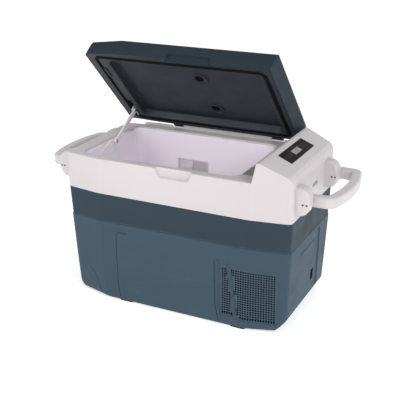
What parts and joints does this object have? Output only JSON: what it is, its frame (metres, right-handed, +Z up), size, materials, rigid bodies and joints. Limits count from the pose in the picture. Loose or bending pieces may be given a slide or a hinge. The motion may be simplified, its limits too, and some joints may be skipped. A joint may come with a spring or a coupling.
{
  "type": "portable compressor fridge",
  "caption": "Portable top-opening compressor cooler fridge with a rear-hinged insulated lid on a stay, end console with control panel, fold-down end handles and a front vent.",
  "frame": {"origin": "floor level under the middle of the overall box, with the lid open at its stop and the handles out level", "axes": "+X along the length towards the control console, -Y is the front, +Z up"},
  "size_m": [0.92, 0.4004, 0.7465],
  "materials": {
    "slate_shell": "matte",
    "slate_liner": "satin",
    "white_shell": "satin",
    "white_liner": "satin",
    "foam": "matte",
    "black_trim": "satin",
    "button_cap": "matte",
    "display": "gloss",
    "lamp_lens": "gloss",
    "rubber_black": "matte",
    "steel": "satin",
    "compressor_black": "satin",
    "aluminium_sheet": "satin",
    "copper_tube": "satin",
    "circuit_board": "satin",
    "contact_brass": "satin"
  },
  "bodies": {
    "cabinet": {"base_shell": "slate_shell", "foot_front_left": "rubber_black", "foot_front_right": "rubber_black", "foot_rear_left": "rubber_black", "foot_rear_right": "rubber_black", "vent_grille_left": "slate_shell", "vent_grille_right": "slate_shell", "upper_collar": "white_shell", "inner_liner": "white_liner", "evaporator_wrap": "aluminium_sheet", "foam_insulation": "foam", "cabin_vent_frame": "white_liner", "cabin_vent_louvre": "white_liner", "cabin_lamp_lens": "lamp_lens", "lid_switch_cover": "black_trim", "compressor_plate": "steel", "compressor_grommets": "rubber_black", "compressor": "compressor_black", "compressor_foot": "steel", "condenser": "aluminium_sheet", "condenser_bracket": "steel", "fan_frame": "black_trim", "fan_stand": "steel", "discharge_tube": "copper_tube", "suction_tube": "copper_tube", "control_board": "circuit_board", "board_bracket": "steel", "control_panel": "black_trim", "display_lens": "display", "usb_port_cover": "black_trim", "power_inlet": "black_trim", "inlet_blades": "contact_brass", "hinge_rail": "white_shell", "stay_bracket": "white_shell", "stay_pivot_pin": "steel", "boss_screws_right": "steel", "boss_screws_left": "steel"},
    "lid": {"lid_shell": "slate_shell", "lid_liner": "slate_liner", "lid_foam": "foam", "lid_gasket": "rubber_black", "lid_plug_front": "slate_liner", "lid_plug_rear": "slate_liner", "lid_magnet": "black_trim", "stay_guide": "steel", "hinge_pin": "steel"},
    "stay": {"stay_arm": "steel", "stay_slide_pin": "steel"},
    "handle_right": {"handle_right": "white_shell", "handle_right_pin_front": "steel", "handle_right_pin_rear": "steel"},
    "handle_left": {"handle_left": "white_shell", "handle_left_pin_front": "steel", "handle_left_pin_rear": "steel"},
    "rotor": {"fan_rotor": "black_trim"},
    "button_power": {"button_power": "button_cap"},
    "button_set": {"button_set": "button_cap"},
    "button_plus": {"button_plus": "button_cap"},
    "button_minus": {"button_minus": "button_cap"}
  },
  "joints": [
    {"name": "lid_hinge", "type": "hinge", "parent": "cabinet", "child": "lid", "pos_m": [0, 0.17983, 0.447], "axis": [-1, 0, 0], "range_deg": [-45.7, 0]},
    {"name": "stay_pivot", "type": "hinge", "parent": "cabinet", "child": "stay", "pos_m": [-0.2945, 0.00383, 0.428], "axis": [1, 0, 0], "range_deg": [-22, 0]},
    {"name": "handle_right_pivot", "type": "hinge", "parent": "cabinet", "child": "handle_right", "pos_m": [0.371, 0.00683, 0.388], "axis": [0, 1, 0], "range_deg": [0, 90]},
    {"name": "handle_left_pivot", "type": "hinge", "parent": "cabinet", "child": "handle_left", "pos_m": [-0.371, 0.00683, 0.388], "axis": [0, -1, 0], "range_deg": [0, 90]},
    {"name": "fan_spin", "type": "hinge", "parent": "cabinet", "child": "rotor", "pos_m": [0.236, -0.10217, 0.11], "axis": [0, 1, 0], "continuous": true},
    {"name": "button_power_press", "type": "slide", "parent": "cabinet", "child": "button_power", "axis": [-0.3736, 0, -0.9276], "range_m": [0, 0.0007], "stiffness_N_per_m": 700},
    {"name": "button_set_press", "type": "slide", "parent": "cabinet", "child": "button_set", "axis": [-0.3736, 0, -0.9276], "range_m": [0, 0.0007], "stiffness_N_per_m": 700},
    {"name": "button_plus_press", "type": "slide", "parent": "cabinet", "child": "button_plus", "axis": [-0.3736, 0, -0.9276], "range_m": [0, 0.0007], "stiffness_N_per_m": 700},
    {"name": "button_minus_press", "type": "slide", "parent": "cabinet", "child": "button_minus", "axis": [-0.3736, 0, -0.9276], "range_m": [0, 0.0007], "stiffness_N_per_m": 700}
  ],
  "couplings": [
    {"joint": "stay_pivot", "follows": "lid_hinge", "ratio": 0.47768}
  ]
}
